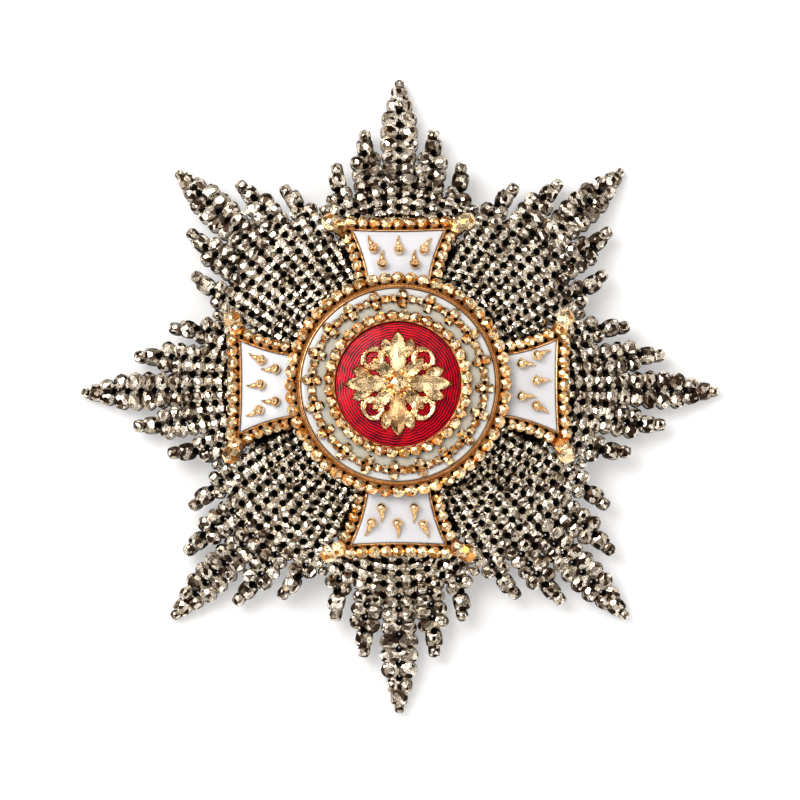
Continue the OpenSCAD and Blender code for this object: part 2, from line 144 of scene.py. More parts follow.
plain_silver = Finish("plain_silver", {"Metallic": 1.0})
clouds = plain_silver.grain(6, 4)
scratches = plain_silver.grain(0.25, 3)
worn_tone = plain_silver.blend(
    plain_silver.step(clouds, 0.3, 0.62), (0.36, 0.33, 0.29, 1), (0.66, 0.645, 0.61, 1))
# The side that faces the rays is painted black as the shade the rays cast on it
facing = plain_silver.node("TexCoord", {}, {}, "Normal")
upward = plain_silver.node("SeparateXYZ", {}, {0: facing}, "Z")
shaded_top = plain_silver.step(upward, 0.5, 0.8)
plain_silver.give("Base Color", plain_silver.blend(shaded_top, worn_tone, (0.015, 0.012, 0.010, 1)))
plain_silver.give("Roughness", 0.26 + 0.22*scratches + 0.4*shaded_top)
plain_silver.bumps(scratches, 0.02, 0.5)
for node in ("back_plate", "breast_pin"):
    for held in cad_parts[node].material_slots:
        held.material = plain_silver.made

# Rays. Eight bundles of five rays are pierced and cut from silver plate. Rows of cut studs
# stand on it, a hole is drilled between each four of them, and every ray ends in a broad neck
# stud and a small tip stud. The facets are polished, and the recesses are dark with oxide and
# with painted shade.

DOME_R = 170
PLATE_T = 1.1
FACE_R = DOME_R + PLATE_T
STUD_H = 0.88
STAR_R = 44
LONG_TIP_R = 0.65
SHORT_TIP_R = 0.825
NECK_R = 1.15
RING_R = 15.4
# The columns of a bundle meet this far behind the star's centre, and lie COLUMN apart
FAN_BACK = 8.7
COLUMN = math.radians(3.27)
HALF_BUNDLE = math.radians(22.5)
# Rows lie ever further apart towards the tips, and bend back towards a bundle's sides
ROW_EASE = 0.31
ROW_DIP = 0.087
TIP_ROW = 17.5
FIRST_R = RING_R - 0.08
LAST_R = STAR_R - LONG_TIP_R
DOME_DROP = math.sqrt(DOME_R**2 - (LAST_R + LONG_TIP_R/2)**2)
# Column of a ray's axis, last row of two studs, row of the neck stud, row and column of the tip
RAYS = ((0, 16, 16.8, 17.5, 0), (2, 12, 13.08, 13.95, 1.88), (4, 10, 11.28, 12.18, 3.75))
# Share of the column spacing between a row's two studs, from the last row inwards
SPREADS = ((0.62, 1, 1.2, 1.28, 1.2, 1.1), (0.95,), (0.92,))
# Column between two rays, and the row where the valley between them ends
VALLEYS = ((1, 11.1), (3, 9.8))
# Lone studs between two bundles
SIDE_ROWS = (8.5, 9.5)
SIDE_COLUMN = 4.5
# First row of each ray where the cross covers the bundle
COVERED_FIRST = (4, 4, 6)
# Reach of a stud past its share of a row or column, and of one at a ray's edge or end
OVERLAP = 1.04
EDGE_REACH = 1.26
END_REACH = 1.02
ROW_REACH = 0.56
STUD_FILL = 0.93
SIDE_STUD = 0.8
SIDE_STUD_REACH = 0.84
HOLE_R = 0.48
HOLE_FILL = 0.33
HOLE_ROWS = 17
# Holes go on for this many rows past a ray's last studs, and stop this short of a valley
HOLE_OVER = 0.6
# The holes go right through from this row on, and are this wide at the bottom
THROUGH_ROW = 9
OPEN_R = 0.13
TIP_HOLE_ROW = RAYS[0][1] + 0.42
TIP_HOLE_R = 0.36
# Angle of one straight step along a drilled edge, and the square of a length that counts as none
ARC_STEP = 0.5
NO_LENGTH = 1e-12
COMPASS = ("top", "top_right", "right", "bottom_right", "bottom", "bottom_left", "left", "top_left")
chance = random.Random(11)


def added(name, data):
    """A new object in the scene."""
    made = bpy.data.objects.new(name, data)
    bpy.context.scene.collection.objects.link(made)
    return made


class Work:
    """The faces of one piece in millimetres. Each corner is (x, y, height, polish),
    which runs from 0 in a recess painted dark as shade, on silver dark with oxide too, to 1 on a
    worn top."""

    def __init__(self):
        self.points = []
        self.faces = []
        self.polish = []
        self.tint = []

    def solid(self, polygons, place, tint=0.5):
        """Adds one closed form. Its tint is one value, or a list with one for each face."""
        seen = {}
        tints = tint if isinstance(tint, list) else [tint]*len(polygons)
        for polygon, tone in zip(polygons, tints):
            face = []
            for x, y, height, polish in polygon:
                key = (round(x, 4), round(y, 4), round(height, 4))
                if key not in seen:
                    seen[key] = len(self.points)
                    self.points.append(place(x, y, height))
                    self.polish.append(polish)
                if seen[key] not in face:
                    face.append(seen[key])
            if len(face) > 2:
                self.faces.append(face)
                self.tint.append(tone)

    def piece(self, name, finish, nodes, crease):
        """Makes the object. Edges sharper than crease degrees stay sharp."""
        mesh = bpy.data.meshes.new(name)
        mesh.from_pydata([(x*MM, y*MM, z*MM) for x, y, z in self.points], [], self.faces)
        mesh.shade_smooth()
        mesh.set_sharp_from_angle(angle=math.radians(crease))
        for mark, where, values in (("polish", "POINT", self.polish), ("tint", "FACE", self.tint)):
            mesh.attributes.new(mark, "FLOAT", where).data.foreach_set("value", values)
        mesh.materials.append(finish.made)
        made = added(name, mesh)
        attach(made, "root")
        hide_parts(*nodes)


def turning(turn):
    """Turns flat points by that many degrees clockwise."""
    c, s = math.cos(math.radians(turn)), math.sin(math.radians(turn))
    return lambda x, y: (x*c + y*s, y*c - x*s)


def domed(big, turn=0):
    """Places flat work on the sphere of radius big, turned by that many degrees clockwise."""
    spun = turning(turn)

    def place(x, y, height):
        x, y = spun(x, y)
        grow = 1 + height/big
        return x*grow, y*grow, math.sqrt(big*big - x*x - y*y)*grow - DOME_DROP
    return place


def clipped(outline, a, b, c):
    """The part of a flat outline where a*x + b*y <= c."""
    kept = []
    for (x0, y0), (x1, y1) in zip(outline, outline[1:] + outline[:1]):
        d0 = a*x0 + b*y0 - c
        d1 = a*x1 + b*y1 - c
        if d0 <= 0:
            kept.append((x0, y0))
        if d0*d1 < 0:
            t = d0/(d0 - d1)
            kept.append((x0 + (x1 - x0)*t, y0 + (y1 - y0)*t))
    return kept


def ringed(x, y, r, sides):
    """The corners of a round outline."""
    ways = [2*math.pi*k/sides for k in range(sides)]
    return [(x + r*math.cos(way), y + r*math.sin(way)) for way in ways]


def around(r, way):
    """The point at that radius and that angle, clockwise from the top."""
    return r*math.sin(way), r*math.cos(way)


def drilled(outline, hole):
    """The outline with what lies inside a round hole at its edge taken away."""
    hx, hy, hr = hole
    marks = []
    for (x0, y0), (x1, y1) in zip(outline, outline[1:] + outline[:1]):
        ex, ey, fx, fy = x1 - x0, y1 - y0, x0 - hx, y0 - hy
        if fx*fx + fy*fy >= hr*hr:
            marks.append(("corner", x0, y0))
        a, b, c = ex*ex + ey*ey, 2*(ex*fx + ey*fy), fx*fx + fy*fy - hr*hr
        root = b*b - 4*a*c
        if a > NO_LENGTH and root > 0:
            for way, sign in (("in", -1), ("out", 1)):
                t = (-b + sign*math.sqrt(root))/(2*a)
                if 0 <= t < 1:
                    marks.append((way, x0 + ex*t, y0 + ey*t))
    ways = [way for way, _, _ in marks]
    if ways.count("in") != 1 or ways.count("out") != 1:
        return outline
    first = ways.index("in")
    marks = marks[first:] + marks[:first]
    kept = []
    for way, x, y in marks:
        if way == "out":
            start = math.atan2(marks[0][2] - hy, marks[0][1] - hx)
            swing = (start - math.atan2(y - hy, x - hx)) % (2*math.pi)
            steps = max(1, round(swing/ARC_STEP))
            for k in range(1, steps):
                angle = start - swing*k/steps
                kept.append((hx + hr*math.cos(angle), hy + hr*math.sin(angle)))
        kept.append((x, y))
    return kept


# Rows of facets on a bead or stud: share of its reach where a row starts, height there, and the
# same where it ends, both as shares of its height, and facets in the row for each main one
BEAD_ROWS = ((0.0, 1.0, 0.6, 0.72, 1), (0.56, 0.8, 1.0, 0.25, 1))
STUD_ROWS = ((0.0, 1.0, 0.4, 0.87, 1), (0.34, 0.92, 0.66, 0.72, 1), (0.58, 0.79, 0.86, 0.5, 2),
             (0.82, 0.58, 1.0, 0.26, 2))
TABLE_HEIGHT = 0.93
# How unevenly facets are cut: slope of the table, then turn, slope and height of the others
TABLE_LEAN = (0.04, 0.26)
TURN_SPREAD = (-0.2, 0.2)
SLOPE_SPREAD = (-0.3, 0.35)
HEIGHT_SPREAD = (-0.04, 0.05)
# How much brighter or duller a single facet is, a random tone that also paints its reflection
TONE_SPREAD = (-0.75, 0.55)
# Height above a form's rim from which its facets are fully polished and free of painted shade
CLEAN_RISE = 0.45


def facets(x, y, reach, top, count, wander, start, rows=BEAD_ROWS):
    """Planes of a cut stud, as (a, b, c) with height c - a*x - b*y: a tilted table, and rows of
    ever steeper facets round it, every other row set between those above."""
    lean, way = chance.uniform(*TABLE_LEAN)*wander, chance.uniform(0, 2*math.pi)
    a, b = lean*math.cos(way), lean*math.sin(way)
    planes = [(a, b, top*TABLE_HEIGHT + a*x + b*y)]
    for row, (inner, high, outer, low, times) in enumerate(rows):
        for k in range(count*times):
            angle = start + 2*math.pi*(k + 0.5*(row % 2))/(count*times)
            angle += chance.uniform(*TURN_SPREAD)*wander
            rim = reach(angle)
            slope = top*(high - low)/((outer - inner)*rim)*(1 + chance.uniform(*SLOPE_SPREAD)*wander)
            a, b = slope*math.cos(angle), slope*math.sin(angle)
            height = top*(high + chance.uniform(*HEIGHT_SPREAD)*wander) + slope*inner*rim
            planes.append((a, b, height + a*x + b*y))
    return planes


def cut_solid(work, outline, planes, low, floor, place, tint, painted_light=()):
    """A prism over a flat outline, from the height low up to the lowest of the planes. Its
    polish is 0 at the height floor. Each facet is tint bright, give or take
    chance, and the first ones gain the painted light and shade that painted_light gives."""
    def height_at(x, y):
        return min(c - a*x - b*y for a, b, c in planes)

    top = max(height_at(x, y) for x, y in outline) + CLEAN_RISE
    polygons = []
    tints = []
    # Edges at the rim, as a pair of corners, by their rounded places
    edges = {}
    for k, plane in enumerate(planes):
        facet = outline
        for other in planes:
            if other is not plane and len(facet) > 2:
                facet = clipped(facet, other[0] - plane[0], other[1] - plane[1], other[2] - plane[2])
        if len(facet) > 2:
            heights = [height_at(x, y) for x, y in facet]
            polygons.append([(x, y, height, min(1, max(0, (height - floor)/(top - floor))))
                             for (x, y), height in zip(facet, heights)])
            tone = tint + chance.uniform(*TONE_SPREAD) + (painted_light[k] if k < len(painted_light) else 0)
            tints.append(min(1, max(0, tone)))
    for polygon in polygons:
        keys = [(round(point[0], 4), round(point[1], 4)) for point in polygon]
        for k, key in enumerate(keys):
            after = keys[(k + 1) % len(keys)]
            if key != after and edges.pop((after, key), None) is None:
                edges[key, after] = polygon[k], polygon[(k + 1) % len(keys)]
    for a, b in edges.values():
        polygons.append([b, a, (a[0], a[1], low, 0), (b[0], b[1], low, 0)])
    follow = {a: b for a, b in edges}
    start = next(iter(follow))
    base, here = [], start
    while here in follow and len(base) <= len(follow):
        base.append((here[0], here[1], low, 0))
        here = follow[here]
        if here == start:
            break
    polygons.append(base[::-1])
    work.solid(polygons, place, tints + [tint]*(len(polygons) - len(tints)))


def row_r(j):
    t = j/TIP_ROW
    return FIRST_R + (LAST_R - FIRST_R)*((1 - ROW_EASE)*t + ROW_EASE*t*t)


def row_gap(j):
    return row_r(j + 0.5) - row_r(j - 0.5)


def column_gap(j):
    return (row_r(j) + FAN_BACK)*COLUMN


def stud_r(j):
    return STUD_FILL*min(row_gap(j), column_gap(j))/2


def fan(u, j):
    """Place of column u and row j in a bundle that points up, and the way it points."""
    way = u*COLUMN
    x, y = around(row_r(j) - ROW_DIP*u*u + FAN_BACK, way)
    return x, y - FAN_BACK, way


def spread(i, j):
    """Columns between the two studs of the ray i in the row j."""
    back = RAYS[i][1] - j
    return SPREADS[i][back] if 0 <= back < len(SPREADS[i]) else 1


def joined(u, j):
    """Whether the rays on both sides of the column u, which is odd, are one at the row j."""
    return any(abs(u) == between and j <= row for between, row in VALLEYS)


def holes_end(u):
    """The row where the holes of the column u stop."""
    for axis, last, _, _, _ in RAYS:
        if axis == abs(u):
            return last + (HOLE_OVER if axis else 0)
    return dict(VALLEYS)[abs(u)] - HOLE_OVER


# Studs as (bundle, x, y, way, radius, reach to the left, to the right, inwards, outwards, free
# side), where the free side is -1 or 1 at a ray's edge
studs = []
# Holes as (bundle, x, y, radius, radius at the bottom, which is 0 where the hole is blind)
holes = []
for bundle in range(8):
    covered = bundle % 2 == 0
    spun = turning(45*bundle)

    def stand(place, r, left, right, down, up, free=0):
        x, y, way = place
        way += math.radians(45*bundle)
        studs.append((bundle, *spun(x, y), way, r, left, right, down, up, free))

    for i, (axis, last, neck, tip, tip_column) in enumerate(RAYS):
        for m in ((1,) if i == 0 else (-1, 1)):
            for j in range(COVERED_FIRST[i] if covered else 0, last + 1):
                for side in (-1, 1):
                    inner = spread(i, j)/2*column_gap(j)*OVERLAP
                    outer = stud_r(j)*(END_REACH if (i, j) == (0, last) else EDGE_REACH)
                    free = side
                    if joined(m*axis + side, j):
                        outer = (1 - spread(i, j)/2)*column_gap(j)*OVERLAP
                        free = 0
                    left, right = (outer, inner) if side < 0 else (inner, outer)
                    stand(fan(m*axis + side*spread(i, j)/2, j), stud_r(j), left, right,
                          row_gap(j)*ROW_REACH, row_gap(j)*ROW_REACH, free)
            tip_r = LONG_TIP_R if i == 0 else SHORT_TIP_R
            stand(fan(m*(axis + tip_column)/2, neck), NECK_R, *[NECK_R*END_REACH]*4)
            stand(fan(m*tip_column, tip), tip_r, *[tip_r]*4)
    if not covered:
        for j in SIDE_ROWS:
            for side in (-1, 1):
                way = side*HALF_BUNDLE
                r = math.hypot(*fan(SIDE_COLUMN, j)[:2])
                stand((*around(r, way), way), stud_r(j)*SIDE_STUD, *[stud_r(j)*SIDE_STUD_REACH]*4)
    for u in range(-4, 5):
        end = holes_end(u)
        through_end = end - HOLE_OVER*(u != 0)
        for j in range(COVERED_FIRST[(abs(u) + 1)//2] if covered else 0, HOLE_ROWS):
            row = j + 0.5
            if row < end:
                x, y, _ = fan(u, row)
                r = min(HOLE_R, HOLE_FILL*row_gap(row))
                open_r = OPEN_R if u % 2 == 0 and THROUGH_ROW < row < through_end else 0
                holes.append((bundle, *spun(x, y), r, open_r))
    x, y, _ = fan(0, TIP_HOLE_ROW)
    holes.append((bundle, *spun(x, y), TIP_HOLE_R, 0))

OUTLINE_CORNERS = 16
# How square a stud's outline is between its neighbours, and how pointed on its free side
SQUARE_BEND = 0.62
FREE_BEND = 1.2
# Half of the gap that is sawn between two bundles
BUNDLE_GAP = 0.015
# Studs and holes nearer than this can meet a stud
STUD_SEARCH = 3.4
HOLE_SEARCH = 2.2
LINING_SIDES = 10
LINING_OVER = 0.03
LINING_TOP = 0.12
LINING_BOTTOM = -PLATE_T + 0.02
REACH_POWER = 2.6


def stud_outline(stud):
    """A stud's cornered outline, cut off half way to its neighbours and by the holes."""
    bundle, x, y, way, r, left, right, down, up, free = stud
    c, s = math.cos(way), math.sin(way)
    outline = []
    for k in range(OUTLINE_CORNERS):
        angle = 2*math.pi*k/OUTLINE_CORNERS
        across, along = math.cos(angle), math.sin(angle)
        bend = FREE_BEND if across*free > 0.01 else SQUARE_BEND
        across = math.copysign(abs(across)**bend, across)*(right if across > 0 else left)
        along = math.copysign(abs(along)**bend, along)*(up if along > 0 else down)
        outline.append((x + across*c + along*s, y + along*c - across*s))
    for other in studs:
        dx, dy = other[1] - x, other[2] - y
        d = math.hypot(dx, dy)
        if 0 < d < STUD_SEARCH:
            share = r/(r + other[4]) - (BUNDLE_GAP/d if other[0] != bundle else 0)
            outline = clipped(outline, dx, dy, dx*(x + dx*share) + dy*(y + dy*share))
    for _, hx, hy, hr, _ in holes:
        if math.hypot(hx - x, hy - y) < HOLE_SEARCH:
            outline = drilled(outline, (hx, hy, hr))
    return outline


def hole_shade_lining(work, x, y, r, open_r, place):
    """The narrowing wall of a drilled hole, painted black as the shade inside it, and closed at
    the bottom where the hole is blind.
    """
    wide = r + LINING_OVER
    rings = []
    for radius, height in ((wide, LINING_TOP), (open_r, LINING_BOTTOM), (wide, LINING_BOTTOM)):
        rings.append([(px, py, height, 0) for px, py in ringed(x, y, radius, LINING_SIDES)])
    polygons = []
    for a, b in zip(rings, rings[1:] + rings[:1]):
        for k in range(LINING_SIDES):
            after = (k + 1) % LINING_SIDES
            polygons.append([a[k], a[after], b[after], b[k]])
    work.solid(polygons, place, 0.0)


def stud_reach(stud):
    """How far the stud goes in each direction from its middle."""
    _, _, _, way, _, left, right, down, up, _ = stud

    def reach(angle):
        across, along = math.cos(angle + way), math.sin(angle + way)
        across /= right if across > 0 else left
        along /= up if along > 0 else down
        return (abs(across)**REACH_POWER + abs(along)**REACH_POWER)**(-1/REACH_POWER)
    return reach


# Facets are clean where polish, spots and their own tint add up, and black in the recesses,
# where the black is oxide and painted shade. The tint also takes a clean facet from brown
# through dull to fresh silver, and paints part of its reflection.
cut_silver = Finish("cut_silver", {"Specular IOR Level": 0.2})
polish = cut_silver.mark("polish")
tint = cut_silver.mark("tint")
patches = cut_silver.grain(7, 3)
specks = cut_silver.grain(0.35, 3)
clean_and_lit = cut_silver.step(polish + 0.30*specks + 0.35*patches + 0.2*tint, 0.44, 0.74)
stain_and_shade = cut_silver.blend(
    cut_silver.step(tint, 0.05, 0.5), (0.04, 0.024, 0.015, 1), (0.50, 0.42, 0.32, 1))
fresh = cut_silver.blend(cut_silver.step(tint, 0.45, 0.95), stain_and_shade, (0.93, 0.86, 0.74, 1))
cut_silver.give("Base Color", cut_silver.blend(clean_and_lit, (0.005, 0.0035, 0.0025, 1), fresh))
cut_silver.give("Roughness", 0.9 - 0.78*clean_and_lit)
cut_silver.give("Metallic", 0.2 + 0.8*clean_and_lit)
cut_silver.bumps(cut_silver.grain(0.24, 2), 0.06, 0.6)

STUD_HEIGHTS = (0.92, 1.0)
STUD_FACETS = 4
STUD_WANDER = 0.7
STUD_FLOOR = 0.12
STUD_TINTS = (0.66, 0.92)
# The table and the two main facets towards the centre are painted duller as shade, the two
# outer ones brighter as painted highlight
STUD_PAINTED_LIGHT = (-0.1, 0.12, 0.12, -0.12, -0.12)
# Studs past this radius, on the free rays, are duller by that much
FAR_R = 27
FAR_DULL = 0.27

for bundle in range(8):
    work = Work()
    for stud in studs:
        if stud[0] == bundle:
            planes = facets(stud[1], stud[2], stud_reach(stud), STUD_H*chance.uniform(*STUD_HEIGHTS),
                            STUD_FACETS, STUD_WANDER, math.pi/STUD_FACETS - stud[3], STUD_ROWS)
            dull = FAR_DULL if math.hypot(stud[1], stud[2]) > FAR_R else 0
            cut_solid(work, stud_outline(stud), planes, -PLATE_T, STUD_FLOOR, domed(FACE_R),
                      chance.uniform(*STUD_TINTS) - dull, STUD_PAINTED_LIGHT)
    # Every hole gets a lining painted black as the shade inside it
    for home, x, y, r, open_r in holes:
        if home == bundle:
            hole_shade_lining(work, x, y, r, open_r, domed(FACE_R))
    name = "rays_" + COMPASS[bundle]
    work.piece("cut_" + name, cut_silver, [name], 5)

# Cross. Four gold trays for the enamel, edged by a thin wall, a drilled border and a row of cut
# beads soldered on, with two large beads at each corner. It is screwed down on the rays.

SEAT_GAP = 0.05
STUD_TOP = 0.9
TRAY_T = 0.5
ENAMEL_T = 0.8
CROSS_R = FACE_R + STUD_TOP + SEAT_GAP
TRAY_R = CROSS_R + TRAY_T
ENAMEL_R = TRAY_R + SEAT_GAP + ENAMEL_T
ENAMEL_OUT = 21.5
OUT_HALF = 6.25
IN_HALF = 3.95
FLANK_DIP = 0.45
END_DIP = 0.2
BORDER_W = 1.2
BEAD_D = 1.5
FLANK_BEAD_D = 1.25
BEAD_H = 0.8
CORNER_D = 2.4
SECOND_D = 2.1
BEAD_ROOT = 0.5
BEAD_WANDER = 0.6
BEAD_FLOOR = 0.03
BEAD_TINTS = (0.6, 1.1)
# A bead's table is painted brighter than its other facets by this, as a highlight
BEAD_PAINTED_HIGHLIGHT = (0.3,)
CORNER_X = OUT_HALF + BORDER_W + CORNER_D*0.78
SECOND_X = OUT_HALF + BORDER_W + SECOND_D*0.3
RING_BEAD_D = 1.66
RIM_W = 0.55
ARM_IN = RING_R - RING_BEAD_D - RIM_W
# How polished a plate, its walls and the walls of its pits are; the low values paint them
# dark as shade, the pits darkest
PLATE_POLISH_AND_SHADE = 0.15
WALL_POLISH_AND_SHADE = 0.22
PIT_POLISH_AND_SHADE = 0.1
SIDES = ("top", "right", "bottom", "left")


def flank(t, off):
    """Point on an arm's right flank at the share t of its length, moved out by off."""
    run = ENAMEL_OUT - ARM_IN
    x = IN_HALF + (OUT_HALF - IN_HALF)*t - 4*FLANK_DIP*t*(1 - t)
    slope = (OUT_HALF - IN_HALF - 4*FLANK_DIP*(1 - 2*t))/run
    size = math.hypot(1, slope)
    return x + off/size, ARM_IN + run*t - off*slope/size


def end_point(s, off):
    """Point on an arm's outer end at the share s of its half width, moved out by off."""
    return s*OUT_HALF, ENAMEL_OUT - END_DIP*(1 - s*s) + off


def both_sides(half):
    """A closed outline from its right half, which ends on the middle line."""
    return half + [(-x, y) for x, y in half[-2::-1]]


def arm_outline(off):
    """The enamel's outline, moved out by off."""
    half = [flank(k/24, off) for k in range(24)]
    corner = flank(1, off)[0], end_point(1, off)[1]
    return both_sides(half + [corner] + [end_point(1 - k/14, off) for k in range(1, 15)])


def frame_outline(off):
    """The gold tray's outline, with a lobe under each corner bead."""
    y = ENAMEL_OUT + BORDER_W
    half = [flank(k/16, off) for k in range(16)]
    half += [(CORNER_X, y - CORNER_D*0.35), (CORNER_X + CORNER_D*0.3, y), (CORNER_X, y + CORNER_D*0.3)]
    return both_sides(half + [end_point(1 - k/10, off) for k in range(1, 11)])


def inside(x, y, loops):
    """Whether a point lies within an odd number of the loops."""
    odd = False
    for loop in loops:
        for (x0, y0), (x1, y1) in zip(loop, loop[1:] + loop[:1]):
            if (y0 > y) != (y1 > y) and x < x0 + (x1 - x0)*(y - y0)/(y1 - y0):
                odd = not odd
    return odd


def flat_faces(loops, more=()):
    """Triangles, seen from above, of the flat between an outline and the loops inside it."""
    corners = [point for loop in loops for point in loop] + list(more)
    edges, first = [], 0
    for loop in loops:
        edges += [(first + k, first + (k + 1) % len(loop)) for k in range(len(loop))]
        first += len(loop)
    found, _, faces, _, _, _ = delaunay_2d_cdt([Vector(p) for p in corners], edges, [], 0, 1e-7)
    kept = []
    for face in faces:
        a, b, c = [found[k] for k in face]
        if inside((a.x + b.x + c.x)/3, (a.y + b.y + c.y)/3, loops):
            kept.append([(a.x, a.y), (b.x, b.y), (c.x, c.y)])
    return kept


def loop_walls(loop, high, low, polish):
    """Faces that hang down from an outline that runs anticlockwise."""
    return [[(bx, by, high, polish), (ax, ay, high, polish), (ax, ay, low, 0), (bx, by, low, 0)]
            for (ax, ay), (bx, by) in zip(loop, loop[1:] + loop[:1])]


def pierced_plate(work, outer, opening, pits, high, low, pit_low, place):
    """A plate with an opening through it and pits drilled into its top."""
    top = flat_faces([outer, opening] + pits)
    polygons = [[(x, y, high, PLATE_POLISH_AND_SHADE) for x, y in face] for face in top]
    polygons += [[(x, y, low, 0) for x, y in face[::-1]] for face in flat_faces([outer, opening])]
    polygons += loop_walls(outer, high, low, WALL_POLISH_AND_SHADE)
    polygons += loop_walls(opening[::-1], high, low, WALL_POLISH_AND_SHADE)
    for pit in pits:
        # The pits' walls and floors are painted dark as their shade
        polygons += loop_walls(pit[::-1], high, pit_low, PIT_POLISH_AND_SHADE)
        polygons.append([(x, y, pit_low, 0) for x, y in pit])
    work.solid(polygons, place)


def cut_bead(work, x, y, across, along, height, root, way, place, sides=12, count=5):
    """A cut bead, across and along the direction way, rooted in what it is soldered to."""
    c, s = math.cos(way), math.sin(way)
    outline = []
    for k in range(sides):
        angle = 2*math.pi*k/sides
        u, v = across*math.cos(angle), along*math.sin(angle)
        outline.append((x + u*c + v*s, y + v*c - u*s))

    def reach(angle):
        return 1/math.hypot(math.cos(angle + way)/across, math.sin(angle + way)/along)
    planes = facets(x, y, reach, height, count, BEAD_WANDER, math.pi/count - way)
    cut_solid(work, outline, planes, -root, BEAD_FLOOR, place, chance.uniform(*BEAD_TINTS), BEAD_PAINTED_HIGHLIGHT)


def rod(work, path, radii, place, sides, closed=False, tint=0.5, polish=None):
    """A round rod along a path of (x, y, height) points, painted lighter towards its top and dark
    as shade below, unless its polish is given."""
    rings = []
    for k, (x, y, height) in enumerate(path):
        before = path[k - 1] if k or closed else path[0]
        after = path[(k + 1) % len(path)] if k + 1 < len(path) or closed else path[-1]
        dx, dy = after[0] - before[0], after[1] - before[1]
        size = math.hypot(dx, dy) or 1
        r = radii[k]
        ring = []
        for n in range(sides):
            angle = 2*math.pi*(n + 0.5)/sides
            across, up = r*math.cos(angle), r*math.sin(angle)
            shine = (0.5 + 0.5*math.sin(angle)) if polish is None else polish
            ring.append((x + across*dy/size, y - across*dx/size, height + up, shine))
        rings.append(ring)
    polygons = []
    for a, b in zip(rings, rings[1:] + (rings[:1] if closed else [])):
        for n in range(sides):
            after = (n + 1) % sides
            polygons.append([b[n], b[after], a[after], a[n]])
    if not closed:
        polygons += [rings[0], rings[-1][::-1]]
    work.solid(polygons, place, tint)


def make_gold(name, bright, deep):
    """Gilt with clean tops, orange flanks and brown recesses; the brown and black in the
    recesses are painted shade.
    """
    gold = Finish(name, {"Metallic": 1.0})
    polish = gold.mark("polish")
    specks = gold.grain(0.3, 3)
    clouds = gold.grain(3, 3)
    clean_and_lit = gold.step(polish + 0.25*specks + 0.2*clouds, 0.34, 0.66)
    stain_and_shade = gold.blend(gold.step(polish + 0.1*specks, 0.06, 0.3), (0.006, 0.003, 0.002, 1), deep)
    dull = (bright[0]*0.66, bright[1]*0.34, bright[2]*0.12, 1)
    fresh = gold.blend(gold.step(gold.mark("tint"), 0.2, 0.95), dull, bright)
    gold.give("Base Color", gold.blend(clean_and_lit, stain_and_shade, fresh))
    gold.give("Roughness", 0.6 - 0.46*clean_and_lit)
    gold.bumps(specks, 0.05, 0.6)
    return gold


gilt = make_gold("gilt", (1.0, 0.80, 0.50, 1), (0.36, 0.12, 0.02, 1))

END_BEADS = 9
END_SPREAD = 1.04
FLANK_BEADS = 5
FLANK_FIRST = (RING_R + SEAT_GAP - ARM_IN)/(ENAMEL_OUT - ARM_IN)
FLANK_SPAN = 0.93 - FLANK_FIRST
FLANK_LEAN = math.radians(76)
CORNER_LEAN = math.radians(45)
# The pits are drilled between the enamel's wall and the beads
PIT_OFF = 0.56
PIT_R = 0.34
END_PIT_R = 0.36
PIT_SIDES = 10
PIT_BOTTOM = -0.6
LIP_W = 0.25
WALL_OFF = 0.16
WALL_R = 0.11
WALL_RISE = 0.02

ends = [2*k/(END_BEADS - 1) - 1 for k in range(END_BEADS)]
end_gaps = [(2*k + 1)/(END_BEADS - 1) - 1 for k in range(-1, END_BEADS)]
along = [FLANK_FIRST + FLANK_SPAN*k/(FLANK_BEADS - 1) for k in range(FLANK_BEADS)]
flank_gaps = [FLANK_FIRST + FLANK_SPAN*(k + 0.5)/(FLANK_BEADS - 1) for k in range(-1, FLANK_BEADS)]
pits = [ringed(*end_point(s*END_SPREAD, PIT_OFF), END_PIT_R, PIT_SIDES) for s in end_gaps]
for t in flank_gaps:
    x, y = flank(t, PIT_OFF)
    pits += [ringed(x, y, PIT_R, PIT_SIDES), ringed(-x, y, PIT_R, PIT_SIDES)]
wall = [(x, y, WALL_RISE) for x, y in arm_outline(WALL_OFF)]
work = Work()
for turn in (0, 90, 180, 270):
    place = domed(ENAMEL_R, turn)
    pierced_plate(work, frame_outline(BORDER_W + LIP_W), arm_outline(SEAT_GAP), pits,
                  0, CROSS_R - ENAMEL_R, PIT_BOTTOM, place)
    rod(work, wall, [WALL_R]*len(wall), place, 6, True, polish=0.9)
    for s in ends:
        cut_bead(work, *end_point(s*END_SPREAD, BORDER_W), BEAD_D*0.56, BEAD_D*0.5,
                 BEAD_H, BEAD_ROOT, 0, place)
    for m in (-1, 1):
        for t in along:
            x, y = flank(t, BORDER_W)
            cut_bead(work, m*x, y, FLANK_BEAD_D*0.62, FLANK_BEAD_D*0.54, BEAD_H, BEAD_ROOT,
                     m*FLANK_LEAN, place)
        cut_bead(work, m*CORNER_X, ENAMEL_OUT + BORDER_W, CORNER_D/2, CORNER_D/2,
                 BEAD_H*1.4, BEAD_ROOT, m*CORNER_LEAN, place, 14)
        cut_bead(work, m*SECOND_X, ENAMEL_OUT + BORDER_W*0.5, SECOND_D/2, SECOND_D/2,
                 BEAD_H*1.2, BEAD_ROOT, m*CORNER_LEAN, place, 14)
work.piece("cut_cross", gilt, ["cross_frame"], 9)

# Enamel. Opaque white enamel, fired into the four trays and polished, falls off softly to the
# gold wall round it, and is painted grey there as the wall's shadow.

GLAZE = {"Roughness": 0.2, "Specular IOR Level": 0.3, "Coat Weight": 0.35, "Coat Roughness": 0.08}
white_enamel = Finish("white_enamel", GLAZE)
clouds = white_enamel.grain(5, 3)
shore = white_enamel.mark("polish")
